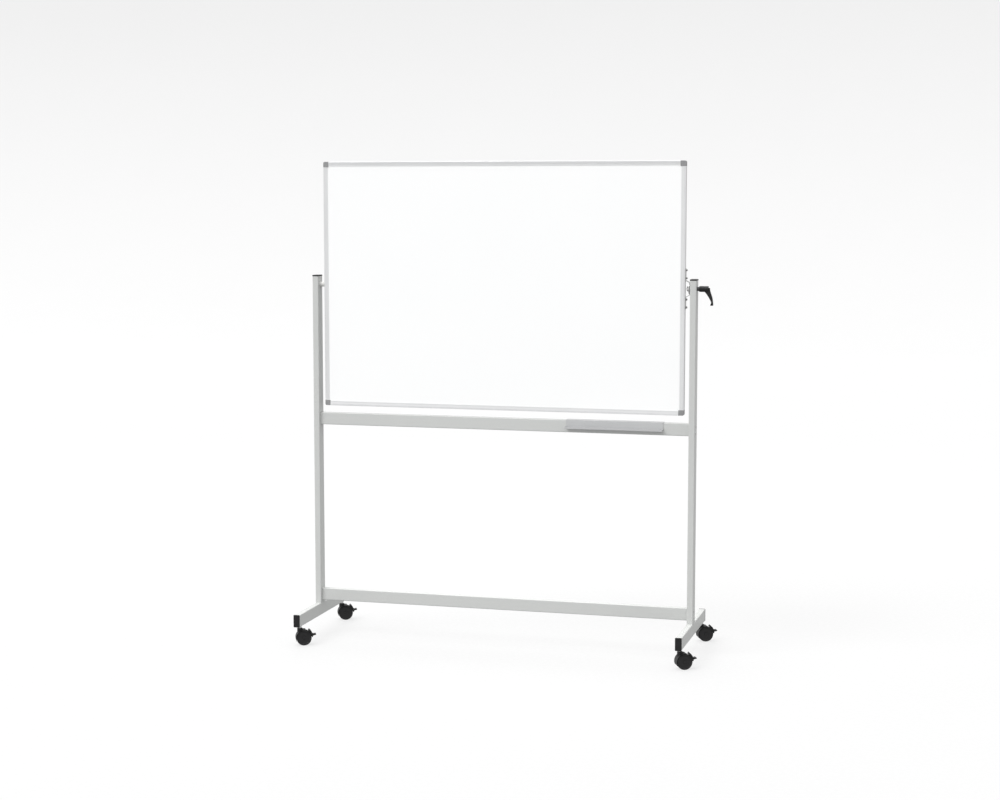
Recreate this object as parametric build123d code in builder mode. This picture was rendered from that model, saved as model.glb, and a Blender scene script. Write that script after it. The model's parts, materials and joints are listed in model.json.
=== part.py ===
"""Rolling reversible whiteboard: a framed board that pivots between two uprights on a castored stand.

Millimetres. +Z up, +X to the right, -Y towards the writer. The origin is on the floor, under the
middle of the board and midway between the two posts.
"""

from build123d import *
import os
from math import cos, radians, sin

# ---- board ----
BOARD_WIDTH = 1500.0
BOARD_HEIGHT = 1000.0
PIVOT_Z = 1462.0
FRAME_FACE = 18.0  # width of the frame profile seen from the front
FRAME_DEPTH = 24.0
FRAME_LIP_END = 1.0  # thickness of the lip at its inner edge
FRAME_EDGE_RADIUS = 1.2
OUTER_GROOVE = (4.0, 5.4)  # start and end, from the board's edge
INNER_GROOVE = (12.6, 14.0)
GROOVE_DEPTH = 0.6
FRAME_FALL = 1.0  # how far the face slopes back between the two grooves
FRAME_WALL = 1.6
PANEL_INSET = 6.0  # board edge to panel edge
PANEL_DEPTH = 20.0
SHEET_THICKNESS = 0.5
CORNER_SIZE = 22.0
CORNER_DEPTH = 25.2
CORNER_RADIUS = 6.0
TONGUE_LENGTH = 25.0
TONGUE_PLAY = 0.1

# ---- stand tubes ----
TUBE_NARROW = 25.0
TUBE_WIDE = 50.0
TUBE_WALL = 1.5
TUBE_RADIUS = 3.0
UPRIGHT_INNER_X = 772.0
UPRIGHT_TOP_Z = 1495.0
FOOT_BOTTOM_Z = 80.0
FOOT_LENGTH = 560.0
MID_BAR_Z = 906.5
BASE_BAR_Z = 166.5
CAP_FLANGE = 4.0
TOP_CAP_FLANGE = 5.0
CAP_PLUG_DEPTH = 7.0
CAP_OVERHANG = 0.6  # the flange stands this far proud of the tube all round
CAP_WALL = 2.0
PLUG_PLAY = 0.1

# ---- stand fasteners ----
BOLT_RADIUS = 3.0
BOLT_HOLE_RADIUS = 3.2
BOLT_HEAD_RADIUS = 5.5
BOLT_HEAD_HEIGHT = 2.2
BAR_BOLT_SPACING = 26.0
BAR_PLUG_LENGTH = 25.0
FOOT_BOLT_SPACING = 28.0
UPRIGHT_PLUG_HEIGHT = 16.0

# ---- left pivot ----
PIVOT_BOLT_RADIUS = 3.0
PIVOT_HEAD_RADIUS = 5.0
PIVOT_HEAD_LENGTH = 6.0
BUSH_PLAY = 0.06
BUSH_SPIGOT_RADIUS = 6.0
BUSH_SPACER_RADIUS = 10.5
BOARD_SIDE_GAP = 0.6
ANCHOR_LENGTH = 30.0
ANCHOR_HEIGHT = 40.0
ANCHOR_DEPTH = 14.0

# ---- right clamp ----
STUD_RADIUS = 4.0
STUD_PLAY = 0.06
BRACKET_SHEET = 2.0
BRACKET_WIDTH = 20.0
BRACKET_HALF_HEIGHT = 80.0
BRACKET_FOOT_Z = 33.0  # where the sloping web leaves the board edge
BRACKET_CROWN_Z = 24.0  # where it reaches the crown
BRACKET_CROWN_X = 770.0
BRACKET_SCREW_Z = (-73.0, -42.0, 42.0, 73.0)
SCREW_RADIUS = 2.0
SCREW_HEAD_RADIUS = 4.0
SCREW_HEAD_HEIGHT = 6.0
WASHER_RADIUS = 22.4
WASHER_THICKNESS = 3.0
NUT_FLATS = 17.0
NUT_LENGTH = 8.0
FRICTION_WASHER_RADIUS = 14.0

# ---- clamping lever, distances from the upright's outer face ----
LEVER_NECK_RADIUS = 8.3
LEVER_NECK_END = 8.0
LEVER_HUB_RADIUS = 11.5
LEVER_HUB_END = 44.0
BOSS_RADIUS = 7.0
BOSS_END = 26.0
TEETH_COUNT = 12
TEETH_RADIUS = 8.0
TEETH_WIDTH = 1.8
TEETH_LENGTH = 4.0
TEETH_PLAY = 0.2
LEVER_SHOULDER = 2.0
SPRING_CHAMBER_RADIUS = 5.4
LEVER_SCREW_RADIUS = 2.0
LEVER_SCREW_HEAD_RADIUS = 4.6
LEVER_SCREW_HEAD_HEIGHT = 3.0
LEVER_SCREW_HEAD_START = 40.5
SPRING_RADIUS = 3.8
SPRING_WIRE_RADIUS = 0.45
SPRING_TURNS = 5
ARM_THICKNESS = 13.0
ARM_DROP = 65.0
ARM_TIP_RADIUS = 2.0
ARM_EDGE_RADIUS = 2.4

# ---- pen tray ----
TRAY_LENGTH = 395.0
TRAY_CENTRE_X = 472.0
TRAY_SHEET = 1.5
TRAY_FRONT_Y = -45.0
TRAY_FLOOR_Z = 899.0
TRAY_LIP_HEIGHT = 6.5
TRAY_PLAY = 0.3
TRAY_HOOK_DROP = 16.0

# ---- castors ----
SWIVEL_ANGLE = 25.0  # direction in which every castor trails, from +X towards +Y
FRONT_STEM_INSET = 38.0  # foot end to stem axis
REAR_STEM_INSET = 20.0
TRAIL = 16.0
WHEEL_RADIUS = 30.5
WHEEL_INNER = 5.0  # inner face of each twin wheel, from the castor's middle plane
WHEEL_OUTER = 19.5
WHEEL_EDGE = 3.0
AXLE_RADIUS = 3.0
AXLE_HALF_LENGTH = 15.5
RUNNING_PLAY = 0.06
STEM_RADIUS = 5.0
STEM_BOTTOM_Z = 58.6
STEM_TOP_Z = 114.0
STEM_COLLAR_HEIGHT = 4.0
STEM_COLLAR_FLATS = 15.0
HOUSING_TOP_Z = 70.5
HOUSING_BOSS_RADIUS = 11.2
HOUSING_WEB_HALF = 4.4
HOOD_INNER = 31.7
HOOD_OUTER = 33.4
HOOD_FROM = 78.0  # degrees about the wheel centre, from the trailing direction upwards
HOOD_TO = 202.0
HUB_RADIUS = 7.5
PEDAL_PIVOT_RADIUS = 14.0  # distance of the pedal's pivot from the wheel centre
PEDAL_PIVOT_ANGLE = 40.0
PEDAL_LUG_RADIUS = 4.6
PEDAL_LUG_HALF = 1.5
PEDAL_PIN_RADIUS = 2.2
PEDAL_WEB_HALF = 4.0
PEDAL_INNER = 32.3
PEDAL_OUTER = 36.2
PEDAL_HALF_WIDTH = 14.5
PEDAL_FROM = 4.0
PEDAL_TO = 58.0
PEDAL_HORN_RADIUS = 40.0
PEDAL_TIP_RADIUS = 49.5
PEDAL_TIP_HALF_WIDTH = 10.0

# ---- worked out ----
HALF_WIDTH = BOARD_WIDTH / 2
BOARD_TOP_Z = PIVOT_Z + BOARD_HEIGHT / 2
BOARD_BOTTOM_Z = PIVOT_Z - BOARD_HEIGHT / 2
UPRIGHT_OUTER_X = UPRIGHT_INNER_X + TUBE_NARROW
UPRIGHT_X = UPRIGHT_INNER_X + TUBE_NARROW / 2
FOOT_TOP_Z = FOOT_BOTTOM_Z + TUBE_WIDE
FOOT_Z = FOOT_BOTTOM_Z + TUBE_WIDE / 2
FOOT_TUBE_END = FOOT_LENGTH / 2 - CAP_FLANGE
FRONT_STEM_Y = FRONT_STEM_INSET - FOOT_LENGTH / 2
REAR_STEM_Y = FOOT_LENGTH / 2 - REAR_STEM_INSET
BAR_LENGTH = 2 * UPRIGHT_INNER_X
BAR_TOP_Z = MID_BAR_Z + TUBE_WIDE / 2
PLUG_WIDE = TUBE_WIDE - 2 * TUBE_WALL - 2 * PLUG_PLAY
PLUG_NARROW = TUBE_NARROW - 2 * TUBE_WALL - 2 * PLUG_PLAY
PLUG_RADIUS = TUBE_RADIUS - TUBE_WALL
LEVER_X = UPRIGHT_OUTER_X
SIDES = {"left": -1, "right": 1}
CASTORS = {
    "front_left": (-UPRIGHT_X, FRONT_STEM_Y),
    "front_right": (UPRIGHT_X, FRONT_STEM_Y),
    "rear_left": (-UPRIGHT_X, REAR_STEM_Y),
    "rear_right": (UPRIGHT_X, REAR_STEM_Y),
}

os.makedirs("parts", exist_ok=True)


def save(builder, name):
    """Label a finished piece and write it as its own node."""
    builder.part.label = name
    export_step(builder.part, f"parts/{name}.step")


def rod(origin, direction, radius, length, mode=Mode.ADD):
    """A round bar, or with Mode.SUBTRACT a drilled hole, from origin along direction."""
    with BuildSketch(Plane(origin=origin, z_dir=direction)) as disc:
        Circle(radius)
    extrude(disc.sketch, amount=length, mode=mode)


def hexagon(origin, direction, flats, length):
    """A hexagonal prism, measured across its flats."""
    with BuildSketch(Plane(origin=origin, z_dir=direction)) as hexagon_face:
        RegularPolygon(flats / 2, 6, major_radius=False)
    extrude(hexagon_face.sketch, amount=length)


def tube(plane, width, height, length):
    """A rounded rectangular tube standing on plane."""
    with BuildSketch(plane) as section:
        RectangleRounded(width, height, TUBE_RADIUS)
        RectangleRounded(
            width - 2 * TUBE_WALL, height - 2 * TUBE_WALL, PLUG_RADIUS, mode=Mode.SUBTRACT
        )
    extrude(section.sketch, amount=length)


def tube_cap(plane, width, height, flange):
    """A moulded cap: a flange slightly wider than the tube and a hollow plug that enters it.

    The plane lies on the end of the tube, with its normal pointing out of it.
    """
    plug_width = width - 2 * TUBE_WALL - 2 * PLUG_PLAY
    plug_height = height - 2 * TUBE_WALL - 2 * PLUG_PLAY
    with BuildSketch(plane) as rim:
        RectangleRounded(width + 2 * CAP_OVERHANG, height + 2 * CAP_OVERHANG, TUBE_RADIUS)
    extrude(rim.sketch, amount=flange)
    with BuildSketch(plane) as plug:
        RectangleRounded(plug_width, plug_height, PLUG_RADIUS)
        RectangleRounded(
            plug_width - 2 * CAP_WALL, plug_height - 2 * CAP_WALL, 0.5, mode=Mode.SUBTRACT
        )
    extrude(plug.sketch, amount=-CAP_PLUG_DEPTH)


def soften_cap_faces(builder, axis, amount=1.2):
    """Round the outer rim of every cap in the builder at both extremes of axis."""
    rims = [
        edge
        for face in builder.faces().filter_by(axis)
        for edge in face.outer_wire().edges()
        if is_outermost(builder, face, axis)
    ]
    fillet(rims, amount)


def is_outermost(builder, face, axis):
    """Is this face at either end of the builder's box along axis?"""
    box = builder.part.bounding_box()
    place = face.center().dot(axis.direction)
    ends = (box.min.dot(axis.direction), box.max.dot(axis.direction))
    return min(abs(place - end) for end in ends) < 0.01


# ---------------------------------------------------------------- board


def frame_section(plane):
    """The frame profile's section: plane's X runs inwards from the board's edge, Y across its depth."""
    half = FRAME_DEPTH / 2
    channel = PANEL_DEPTH / 2
    front = [
        (0, half),
        (OUTER_GROOVE[0], half),
        (OUTER_GROOVE[0], half - GROOVE_DEPTH),
        (OUTER_GROOVE[1], half - GROOVE_DEPTH),
        (OUTER_GROOVE[1], half),
        (INNER_GROOVE[0], half - FRAME_FALL),
        (INNER_GROOVE[0], channel + FRAME_LIP_END - 0.2),
        (INNER_GROOVE[1], channel + FRAME_LIP_END - 0.2),
        (INNER_GROOVE[1], channel + FRAME_LIP_END + 0.2),
        (FRAME_FACE, channel + FRAME_LIP_END),
    ]
    back = [(x, -y) for x, y in reversed(front)]
    with BuildSketch(plane) as section:
        Polygon(*front, *back, align=None)
        fillet(section.vertices().group_by(Axis.X)[0], FRAME_EDGE_RADIUS)
        with Locations((PANEL_INSET, 0)):
            Rectangle(
                FRAME_FACE, PANEL_DEPTH, align=(Align.MIN, Align.CENTER), mode=Mode.SUBTRACT
            )
        with Locations((FRAME_WALL, 0)):
            Rectangle(
                PANEL_INSET - 2 * FRAME_WALL,
                PANEL_DEPTH - 1,
                align=(Align.MIN, Align.CENTER),
                mode=Mode.SUBTRACT,
            )
    return section.sketch


def make_frame():
    """Four extruded profiles, cut square where the corner caps take over."""
    for name, z_edge, inwards in (("top", BOARD_TOP_Z, -1), ("bottom", BOARD_BOTTOM_Z, 1)):
        start = -HALF_WIDTH + CORNER_SIZE
        with BuildPart() as profile:
            end = Plane(origin=(start, 0, z_edge), x_dir=(0, 0, inwards), z_dir=(1, 0, 0))
            section = frame_section(end)
            extrude(section, amount=BOARD_WIDTH - 2 * CORNER_SIZE)
        save(profile, f"frame_{name}")
    for name, side in SIDES.items():
        start = BOARD_BOTTOM_Z + CORNER_SIZE
        edge = side * HALF_WIDTH
        with BuildPart() as profile:
            end = Plane(origin=(edge, 0, start), x_dir=(-side, 0, 0), z_dir=(0, 0, 1))
            section = frame_section(end)
            extrude(section, amount=BOARD_HEIGHT - 2 * CORNER_SIZE)
            if name == "left":
                rod((edge, 0, PIVOT_Z), (1, 0, 0), BOLT_HOLE_RADIUS, PANEL_INSET, Mode.SUBTRACT)
            else:
                for height in BRACKET_SCREW_Z:
                    hole = (edge, 0, PIVOT_Z + height)
                    rod(hole, (-1, 0, 0), SCREW_RADIUS, PANEL_INSET, Mode.SUBTRACT)
        save(profile, f"frame_{name}")


def make_corner_caps():
    """Moulded corners that cover the profile ends, each held by two tongues in the profiles' chambers."""
    tongue_in = FRAME_WALL + TONGUE_PLAY
    tongue_out = PANEL_INSET - FRAME_WALL - TONGUE_PLAY
    tongue_depth = PANEL_DEPTH - 1 - 2 * TONGUE_PLAY
    for row, z_edge, down in (("top", BOARD_TOP_Z, -1), ("bottom", BOARD_BOTTOM_Z, 1)):
        for column, side in SIDES.items():
            edge = side * HALF_WIDTH
            with BuildPart() as cap:
                with BuildSketch(Plane.XZ) as face:
                    with Locations((edge - side * CORNER_SIZE / 2, z_edge + down * CORNER_SIZE / 2)):
                        Rectangle(CORNER_SIZE, CORNER_SIZE)
                    fillet(face.vertices().sort_by_distance((edge, z_edge, 0))[0], CORNER_RADIUS)
                    fillet(face.vertices().sort_by_distance((edge, z_edge, 0))[-1], 3)
                extrude(amount=CORNER_DEPTH / 2, both=True)
                rims = cap.faces().filter_by(Axis.Y)
                fillet([e for rim in rims for e in rim.edges()], 1.2)
                with BuildSketch(Plane.XZ):
                    with Locations((edge - side * PANEL_INSET, z_edge + down * PANEL_INSET)):
                        Rectangle(2 * CORNER_SIZE, 2 * CORNER_SIZE, align=(
                            Align.MAX if side > 0 else Align.MIN,
                            Align.MAX if down < 0 else Align.MIN,
                        ))
                extrude(amount=PANEL_DEPTH / 2, both=True, mode=Mode.SUBTRACT)
                with BuildSketch(Plane.XZ):
                    middle = (tongue_in + tongue_out) / 2
                    reach = CORNER_SIZE + TONGUE_LENGTH / 2
                    with Locations((edge - side * reach, z_edge + down * middle)):
                        Rectangle(TONGUE_LENGTH, tongue_out - tongue_in)
                    with Locations((edge - side * middle, z_edge + down * reach)):
                        Rectangle(tongue_out - tongue_in, TONGUE_LENGTH)
                extrude(amount=tongue_depth / 2, both=True)
            save(cap, f"corner_cap_{row}_{column}")


def make_panel():
    """Two enamelled steel sheets bonded to a light core, with a threaded anchor let into its left edge."""
    width = BOARD_WIDTH - 2 * PANEL_INSET
    height = BOARD_HEIGHT - 2 * PANEL_INSET
    core_depth = PANEL_DEPTH - 2 * SHEET_THICKNESS
    left = -width / 2
    for name, facing in (("front_sheet", -1), ("rear_sheet", 1)):
        with BuildPart() as sheet:
            with Locations((0, facing * (PANEL_DEPTH - SHEET_THICKNESS) / 2, PIVOT_Z)):
                Box(width, SHEET_THICKNESS, height)
        save(sheet, name)
    with BuildPart() as core:
        with Locations((0, 0, PIVOT_Z)):
            Box(width, core_depth, height)
        with Locations((left + ANCHOR_LENGTH / 2, 0, PIVOT_Z)):
            Box(ANCHOR_LENGTH, ANCHOR_DEPTH, ANCHOR_HEIGHT, mode=Mode.SUBTRACT)
    save(core, "panel_core")
    with BuildPart() as anchor:
        with Locations((left + ANCHOR_LENGTH / 2, 0, PIVOT_Z)):
            Box(ANCHOR_LENGTH, ANCHOR_DEPTH, ANCHOR_HEIGHT)
        chamfer(anchor.edges().filter_by(Axis.X), 1)
        rod((left, 0, PIVOT_Z), (1, 0, 0), PIVOT_BOLT_RADIUS, ANCHOR_LENGTH, Mode.SUBTRACT)
    save(anchor, "pivot_anchor")


# ---------------------------------------------------------------- stand


def make_uprights():
    """Left and right posts: 25 mm wide seen from the front, 50 mm deep."""
    for name, side in SIDES.items():
        with BuildPart() as post:
            tube(
                Plane(origin=(side * UPRIGHT_X, 0, FOOT_TOP_Z)),
                TUBE_NARROW,
                TUBE_WIDE,
                UPRIGHT_TOP_Z - FOOT_TOP_Z,
            )
            outer = side * (UPRIGHT_OUTER_X + 1)
            inwards = (-side, 0, 0)
            through = TUBE_NARROW + 2
            rod((outer, 0, PIVOT_Z), inwards, BUSH_SPIGOT_RADIUS, through, Mode.SUBTRACT)
            for bar_z in (MID_BAR_Z, BASE_BAR_Z):
                for z in (bar_z - BAR_BOLT_SPACING / 2, bar_z + BAR_BOLT_SPACING / 2):
                    rod((outer, 0, z), inwards, BOLT_HOLE_RADIUS, through, Mode.SUBTRACT)
        save(post, f"upright_{name}")


def make_crossbars():
    """Two 50 x 25 tubes that join the uprights."""
    for name, z in (("mid_crossbar", MID_BAR_Z), ("base_crossbar", BASE_BAR_Z)):
        with BuildPart() as bar:
            tube(
                Plane(origin=(-UPRIGHT_INNER_X, 0, z), x_dir=(0, 1, 0), z_dir=(1, 0, 0)),
                TUBE_NARROW,
                TUBE_WIDE,
                BAR_LENGTH,
            )
        save(bar, name)


def make_feet():
    """Two floor tubes that run front to back, drilled for the castor stems and the post bolts."""
    for name, side in SIDES.items():
        x = side * UPRIGHT_X
        below = FOOT_BOTTOM_Z - 1
        with BuildPart() as foot:
            tube(
                Plane(origin=(x, -FOOT_TUBE_END, FOOT_Z), x_dir=(1, 0, 0), z_dir=(0, 1, 0)),
                TUBE_NARROW,
                TUBE_WIDE,
                2 * FOOT_TUBE_END,
            )
            for y in (FRONT_STEM_Y, REAR_STEM_Y):
                rod((x, y, below), (0, 0, 1), STEM_RADIUS, TUBE_WALL + 2, Mode.SUBTRACT)
            for y in (-FOOT_BOLT_SPACING / 2, FOOT_BOLT_SPACING / 2):
                rod((x, y, below), (0, 0, 1), BOLT_HOLE_RADIUS, TUBE_WIDE + 2, Mode.SUBTRACT)
        save(foot, f"foot_{name}")


def make_tube_caps():
    """Black plastic caps in the open tube ends: two on the uprights, four on the feet."""
    with BuildPart() as top_caps:
        for side in SIDES.values():
            end = Plane(origin=(side * UPRIGHT_X, 0, UPRIGHT_TOP_Z))
            tube_cap(end, TUBE_NARROW, TUBE_WIDE, TOP_CAP_FLANGE)
        top_faces = top_caps.faces().filter_by(Axis.Z).group_by(Axis.Z)[-1]
        fillet([e for f in top_faces for e in f.edges()], 1.2)
    save(top_caps, "upright_caps")
    with BuildPart() as foot_caps:
        for side in SIDES.values():
            for end in (-1, 1):
                tip = (side * UPRIGHT_X, end * FOOT_TUBE_END, FOOT_Z)
                mouth = Plane(origin=tip, x_dir=(1, 0, 0), z_dir=(0, end, 0))
                tube_cap(mouth, TUBE_NARROW, TUBE_WIDE, CAP_FLANGE)
        soften_cap_faces(foot_caps, Axis.Y)
    save(foot_caps, "foot_caps")


def make_stand_fasteners():
    """Tapped plugs inside the tubes, and the bolts that pull posts, bars and feet together."""
    half_spacing = BAR_BOLT_SPACING / 2
    with BuildPart() as plugs:
        for side in SIDES.values():
            for z in (MID_BAR_Z, BASE_BAR_Z):
                mouth = (side * UPRIGHT_INNER_X, 0, z)
                with BuildSketch(Plane(origin=mouth, x_dir=(0, 1, 0), z_dir=(-side, 0, 0))):
                    RectangleRounded(PLUG_NARROW, PLUG_WIDE, PLUG_RADIUS)
                    with Locations((0, -half_spacing), (0, half_spacing)):
                        Circle(BOLT_RADIUS, mode=Mode.SUBTRACT)
                extrude(amount=BAR_PLUG_LENGTH)
    save(plugs, "crossbar_plugs")
    with BuildPart() as bolts:
        for side in SIDES.values():
            for bar_z in (MID_BAR_Z, BASE_BAR_Z):
                for z in (bar_z - half_spacing, bar_z + half_spacing):
                    outer = (side * UPRIGHT_OUTER_X, 0, z)
                    rod(outer, (-side, 0, 0), BOLT_RADIUS, TUBE_NARROW + BAR_PLUG_LENGTH - 4)
                    rod(outer, (side, 0, 0), BOLT_HEAD_RADIUS, BOLT_HEAD_HEIGHT)
        heads = bolts.faces().filter_by(Axis.X).filter_by(
            lambda f: abs(f.center().X) > UPRIGHT_OUTER_X + BOLT_HEAD_HEIGHT / 2
        )
        fillet([e for f in heads for e in f.edges()], 1.4)
        for side in SIDES.values():
            for bar_z in (MID_BAR_Z, BASE_BAR_Z):
                for z in (bar_z - half_spacing, bar_z + half_spacing):
                    crown = (side * (UPRIGHT_OUTER_X + BOLT_HEAD_HEIGHT), 0, z)
                    with BuildSketch(Plane(origin=crown, z_dir=(-side, 0, 0))):
                        RegularPolygon(2, 6, major_radius=False)
                    extrude(amount=2.6, mode=Mode.SUBTRACT)
    save(bolts, "crossbar_bolts")
    with BuildPart() as post_plugs:
        for side in SIDES.values():
            with BuildSketch(Plane(origin=(side * UPRIGHT_X, 0, FOOT_TOP_Z))):
                RectangleRounded(PLUG_NARROW, PLUG_WIDE, PLUG_RADIUS)
                with Locations((0, -FOOT_BOLT_SPACING / 2), (0, FOOT_BOLT_SPACING / 2)):
                    Circle(BOLT_RADIUS, mode=Mode.SUBTRACT)
            extrude(amount=UPRIGHT_PLUG_HEIGHT)
    save(post_plugs, "upright_plugs")
    with BuildPart() as foot_bolts:
        for side in SIDES.values():
            for y in (-FOOT_BOLT_SPACING / 2, FOOT_BOLT_SPACING / 2):
                seat = (side * UPRIGHT_X, y, FOOT_BOTTOM_Z)
                rod(seat, (0, 0, 1), BOLT_RADIUS, TUBE_WIDE + UPRIGHT_PLUG_HEIGHT - 2)
                hexagon(seat, (0, 0, -1), 2 * BOLT_HEAD_RADIUS - 1, BOLT_HEAD_HEIGHT + 1.5)
    save(foot_bolts, "foot_bolts")


# ---------------------------------------------------------------- left pivot


def make_left_pivot():
    """A socket screw turns in a nylon bush that crosses the post and spaces the board off it."""
    inner = -(HALF_WIDTH + BOARD_SIDE_GAP)
    with BuildPart() as bush:
        rod((-UPRIGHT_OUTER_X, 0, PIVOT_Z), (1, 0, 0), BUSH_SPIGOT_RADIUS, TUBE_NARROW)
        rod((-UPRIGHT_INNER_X, 0, PIVOT_Z), (1, 0, 0), BUSH_SPACER_RADIUS, UPRIGHT_INNER_X + inner)
        rims = bush.edges().filter_by(GeomType.CIRCLE).group_by(SortBy.RADIUS)[-1]
        fillet(rims.sort_by(Axis.X)[-1], 2)
        outside = (-UPRIGHT_OUTER_X - 1, 0, PIVOT_Z)
        rod(outside, (1, 0, 0), PIVOT_BOLT_RADIUS + BUSH_PLAY, TUBE_WIDE + 10, Mode.SUBTRACT)
    save(bush, "pivot_bush")
    head_seat = -UPRIGHT_OUTER_X - BOARD_SIDE_GAP / 2
    shank = -head_seat - HALF_WIDTH + PANEL_INSET + ANCHOR_LENGTH - 4
    with BuildPart() as bolt:
        rod((head_seat, 0, PIVOT_Z), (1, 0, 0), PIVOT_BOLT_RADIUS, shank)
        rod((head_seat, 0, PIVOT_Z), (-1, 0, 0), PIVOT_HEAD_RADIUS, PIVOT_HEAD_LENGTH)
        crown = bolt.faces().sort_by(Axis.X)[0]
        fillet(crown.edges(), 0.8)
        with BuildSketch(Plane(origin=(head_seat - PIVOT_HEAD_LENGTH, 0, PIVOT_Z), z_dir=(1, 0, 0))):
            RegularPolygon(2.5, 6, major_radius=False)
        extrude(amount=3.2, mode=Mode.SUBTRACT)
    save(bolt, "pivot_bolt")


# ---------------------------------------------------------------- right clamp


def make_clamp_bracket():
    """A folded hat bracket on the board's right edge, its screws, and the plate and nut inside its crown."""
    near = HALF_WIDTH
    skin = near + BRACKET_SHEET
    crown_in = BRACKET_CROWN_X - BRACKET_SHEET
    half = [
        (near, BRACKET_HALF_HEIGHT),
        (skin, BRACKET_HALF_HEIGHT),
        (skin, BRACKET_FOOT_Z + 1),
        (BRACKET_CROWN_X, BRACKET_CROWN_Z),
    ]
    inside = [
        (crown_in, BRACKET_CROWN_Z - 1),
        (near, BRACKET_FOOT_Z - 1),
    ]
    upper = half
    lower = [(x, -z) for x, z in reversed(half)]
    lower_inside = [(x, -z) for x, z in reversed(inside)]
    outline = upper + lower + lower_inside + inside
    with BuildPart() as bracket:
        with BuildSketch(Plane.XZ):
            with Locations((0, PIVOT_Z)):
                Polygon(*outline, align=None)
        extrude(amount=BRACKET_WIDTH / 2, both=True)
        ends = bracket.edges().filter_by(Axis.X).group_by(Axis.Z)
        fillet(ends[0] + ends[-1], 4)
        rod((near + 30, 0, PIVOT_Z), (-1, 0, 0), STUD_RADIUS + STUD_PLAY, 30, Mode.SUBTRACT)
        for height in BRACKET_SCREW_Z:
            rod((near + 5, 0, PIVOT_Z + height), (-1, 0, 0), SCREW_RADIUS, 6, Mode.SUBTRACT)
    save(bracket, "clamp_bracket")
    with BuildPart() as screws:
        for height in BRACKET_SCREW_Z:
            seat = (skin, 0, PIVOT_Z + height)
            rod(seat, (-1, 0, 0), SCREW_RADIUS, BRACKET_SHEET + PANEL_INSET - 0.2)
            rod(seat, (1, 0, 0), SCREW_HEAD_RADIUS, SCREW_HEAD_HEIGHT)
        heads = screws.faces().filter_by(Axis.X).group_by(Axis.X)[-1]
        fillet([e for f in heads for e in f.edges()], 1.6)
        for height in BRACKET_SCREW_Z:
            crown = (skin + SCREW_HEAD_HEIGHT, 0, PIVOT_Z + height)
            with BuildSketch(Plane(origin=crown, z_dir=(-1, 0, 0))):
                Rectangle(4.2, 0.9)
                Rectangle(0.9, 4.2)
            extrude(amount=1.4, mode=Mode.SUBTRACT)
    save(screws, "bracket_screws")
    with BuildPart() as washer:
        rod((crown_in, 0, PIVOT_Z), (-1, 0, 0), WASHER_RADIUS, WASHER_THICKNESS)
        fillet(washer.edges().filter_by(GeomType.CIRCLE).sort_by(Axis.X)[0], 1.2)
        outside = (crown_in + 1, 0, PIVOT_Z)
        rod(outside, (-1, 0, 0), STUD_RADIUS + STUD_PLAY, WASHER_THICKNESS + 2, Mode.SUBTRACT)
    save(washer, "clamp_plate")
    with BuildPart() as nut:
        seat = crown_in - WASHER_THICKNESS
        hexagon((seat, 0, PIVOT_Z), (-1, 0, 0), NUT_FLATS, NUT_LENGTH)
        rod((seat + 1, 0, PIVOT_Z), (-1, 0, 0), STUD_RADIUS + STUD_PLAY, NUT_LENGTH + 2, Mode.SUBTRACT)
    save(nut, "clamp_nut")


def make_clamp_post_parts():
    """The sleeve that keeps the right post from crushing, and the fibre washer the bracket rubs on."""
    bore = STUD_RADIUS + STUD_PLAY
    with BuildPart() as sleeve:
        rod((UPRIGHT_INNER_X, 0, PIVOT_Z), (1, 0, 0), BUSH_SPIGOT_RADIUS, TUBE_NARROW)
        rod((UPRIGHT_INNER_X - 1, 0, PIVOT_Z), (1, 0, 0), bore, TUBE_NARROW + 2, Mode.SUBTRACT)
    save(sleeve, "clamp_sleeve")
    thickness = UPRIGHT_INNER_X - BRACKET_CROWN_X - 0.2
    with BuildPart() as washer:
        rod((UPRIGHT_INNER_X, 0, PIVOT_Z), (-1, 0, 0), FRICTION_WASHER_RADIUS, thickness)
        rod((UPRIGHT_INNER_X + 1, 0, PIVOT_Z), (-1, 0, 0), bore, thickness + 2, Mode.SUBTRACT)
    save(washer, "friction_washer")


def make_clamp_stud():
    """The lever's steel insert and stud: neck, plain boss, a crown of teeth, and a tapped end."""
    neck_start = LEVER_X + 0.3
    boss_end = LEVER_X + BOSS_END
    stud_end = BRACKET_CROWN_X - BRACKET_SHEET - WASHER_THICKNESS - NUT_LENGTH - 2
    with BuildPart() as stud:
        rod((neck_start, 0, PIVOT_Z), (-1, 0, 0), STUD_RADIUS, neck_start - stud_end)
        rod((neck_start, 0, PIVOT_Z), (1, 0, 0), LEVER_NECK_RADIUS, LEVER_NECK_END - 0.3)
        rod((neck_start, 0, PIVOT_Z), (1, 0, 0), BOSS_RADIUS, BOSS_END - 0.3)
        teeth_plane = Plane(origin=(boss_end - TEETH_LENGTH, 0, PIVOT_Z), z_dir=(1, 0, 0))
        with BuildSketch(teeth_plane):
            with PolarLocations(BOSS_RADIUS - 1, TEETH_COUNT):
                Rectangle(
                    TEETH_RADIUS - BOSS_RADIUS + 1, TEETH_WIDTH, align=(Align.MIN, Align.CENTER)
                )
        extrude(amount=TEETH_LENGTH)
        chamfer(stud.faces().sort_by(Axis.X)[0].edges(), 0.8)
        rod((boss_end + 1, 0, PIVOT_Z), (-1, 0, 0), LEVER_SCREW_RADIUS, 12, Mode.SUBTRACT)
    save(stud, "clamp_stud")


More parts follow.
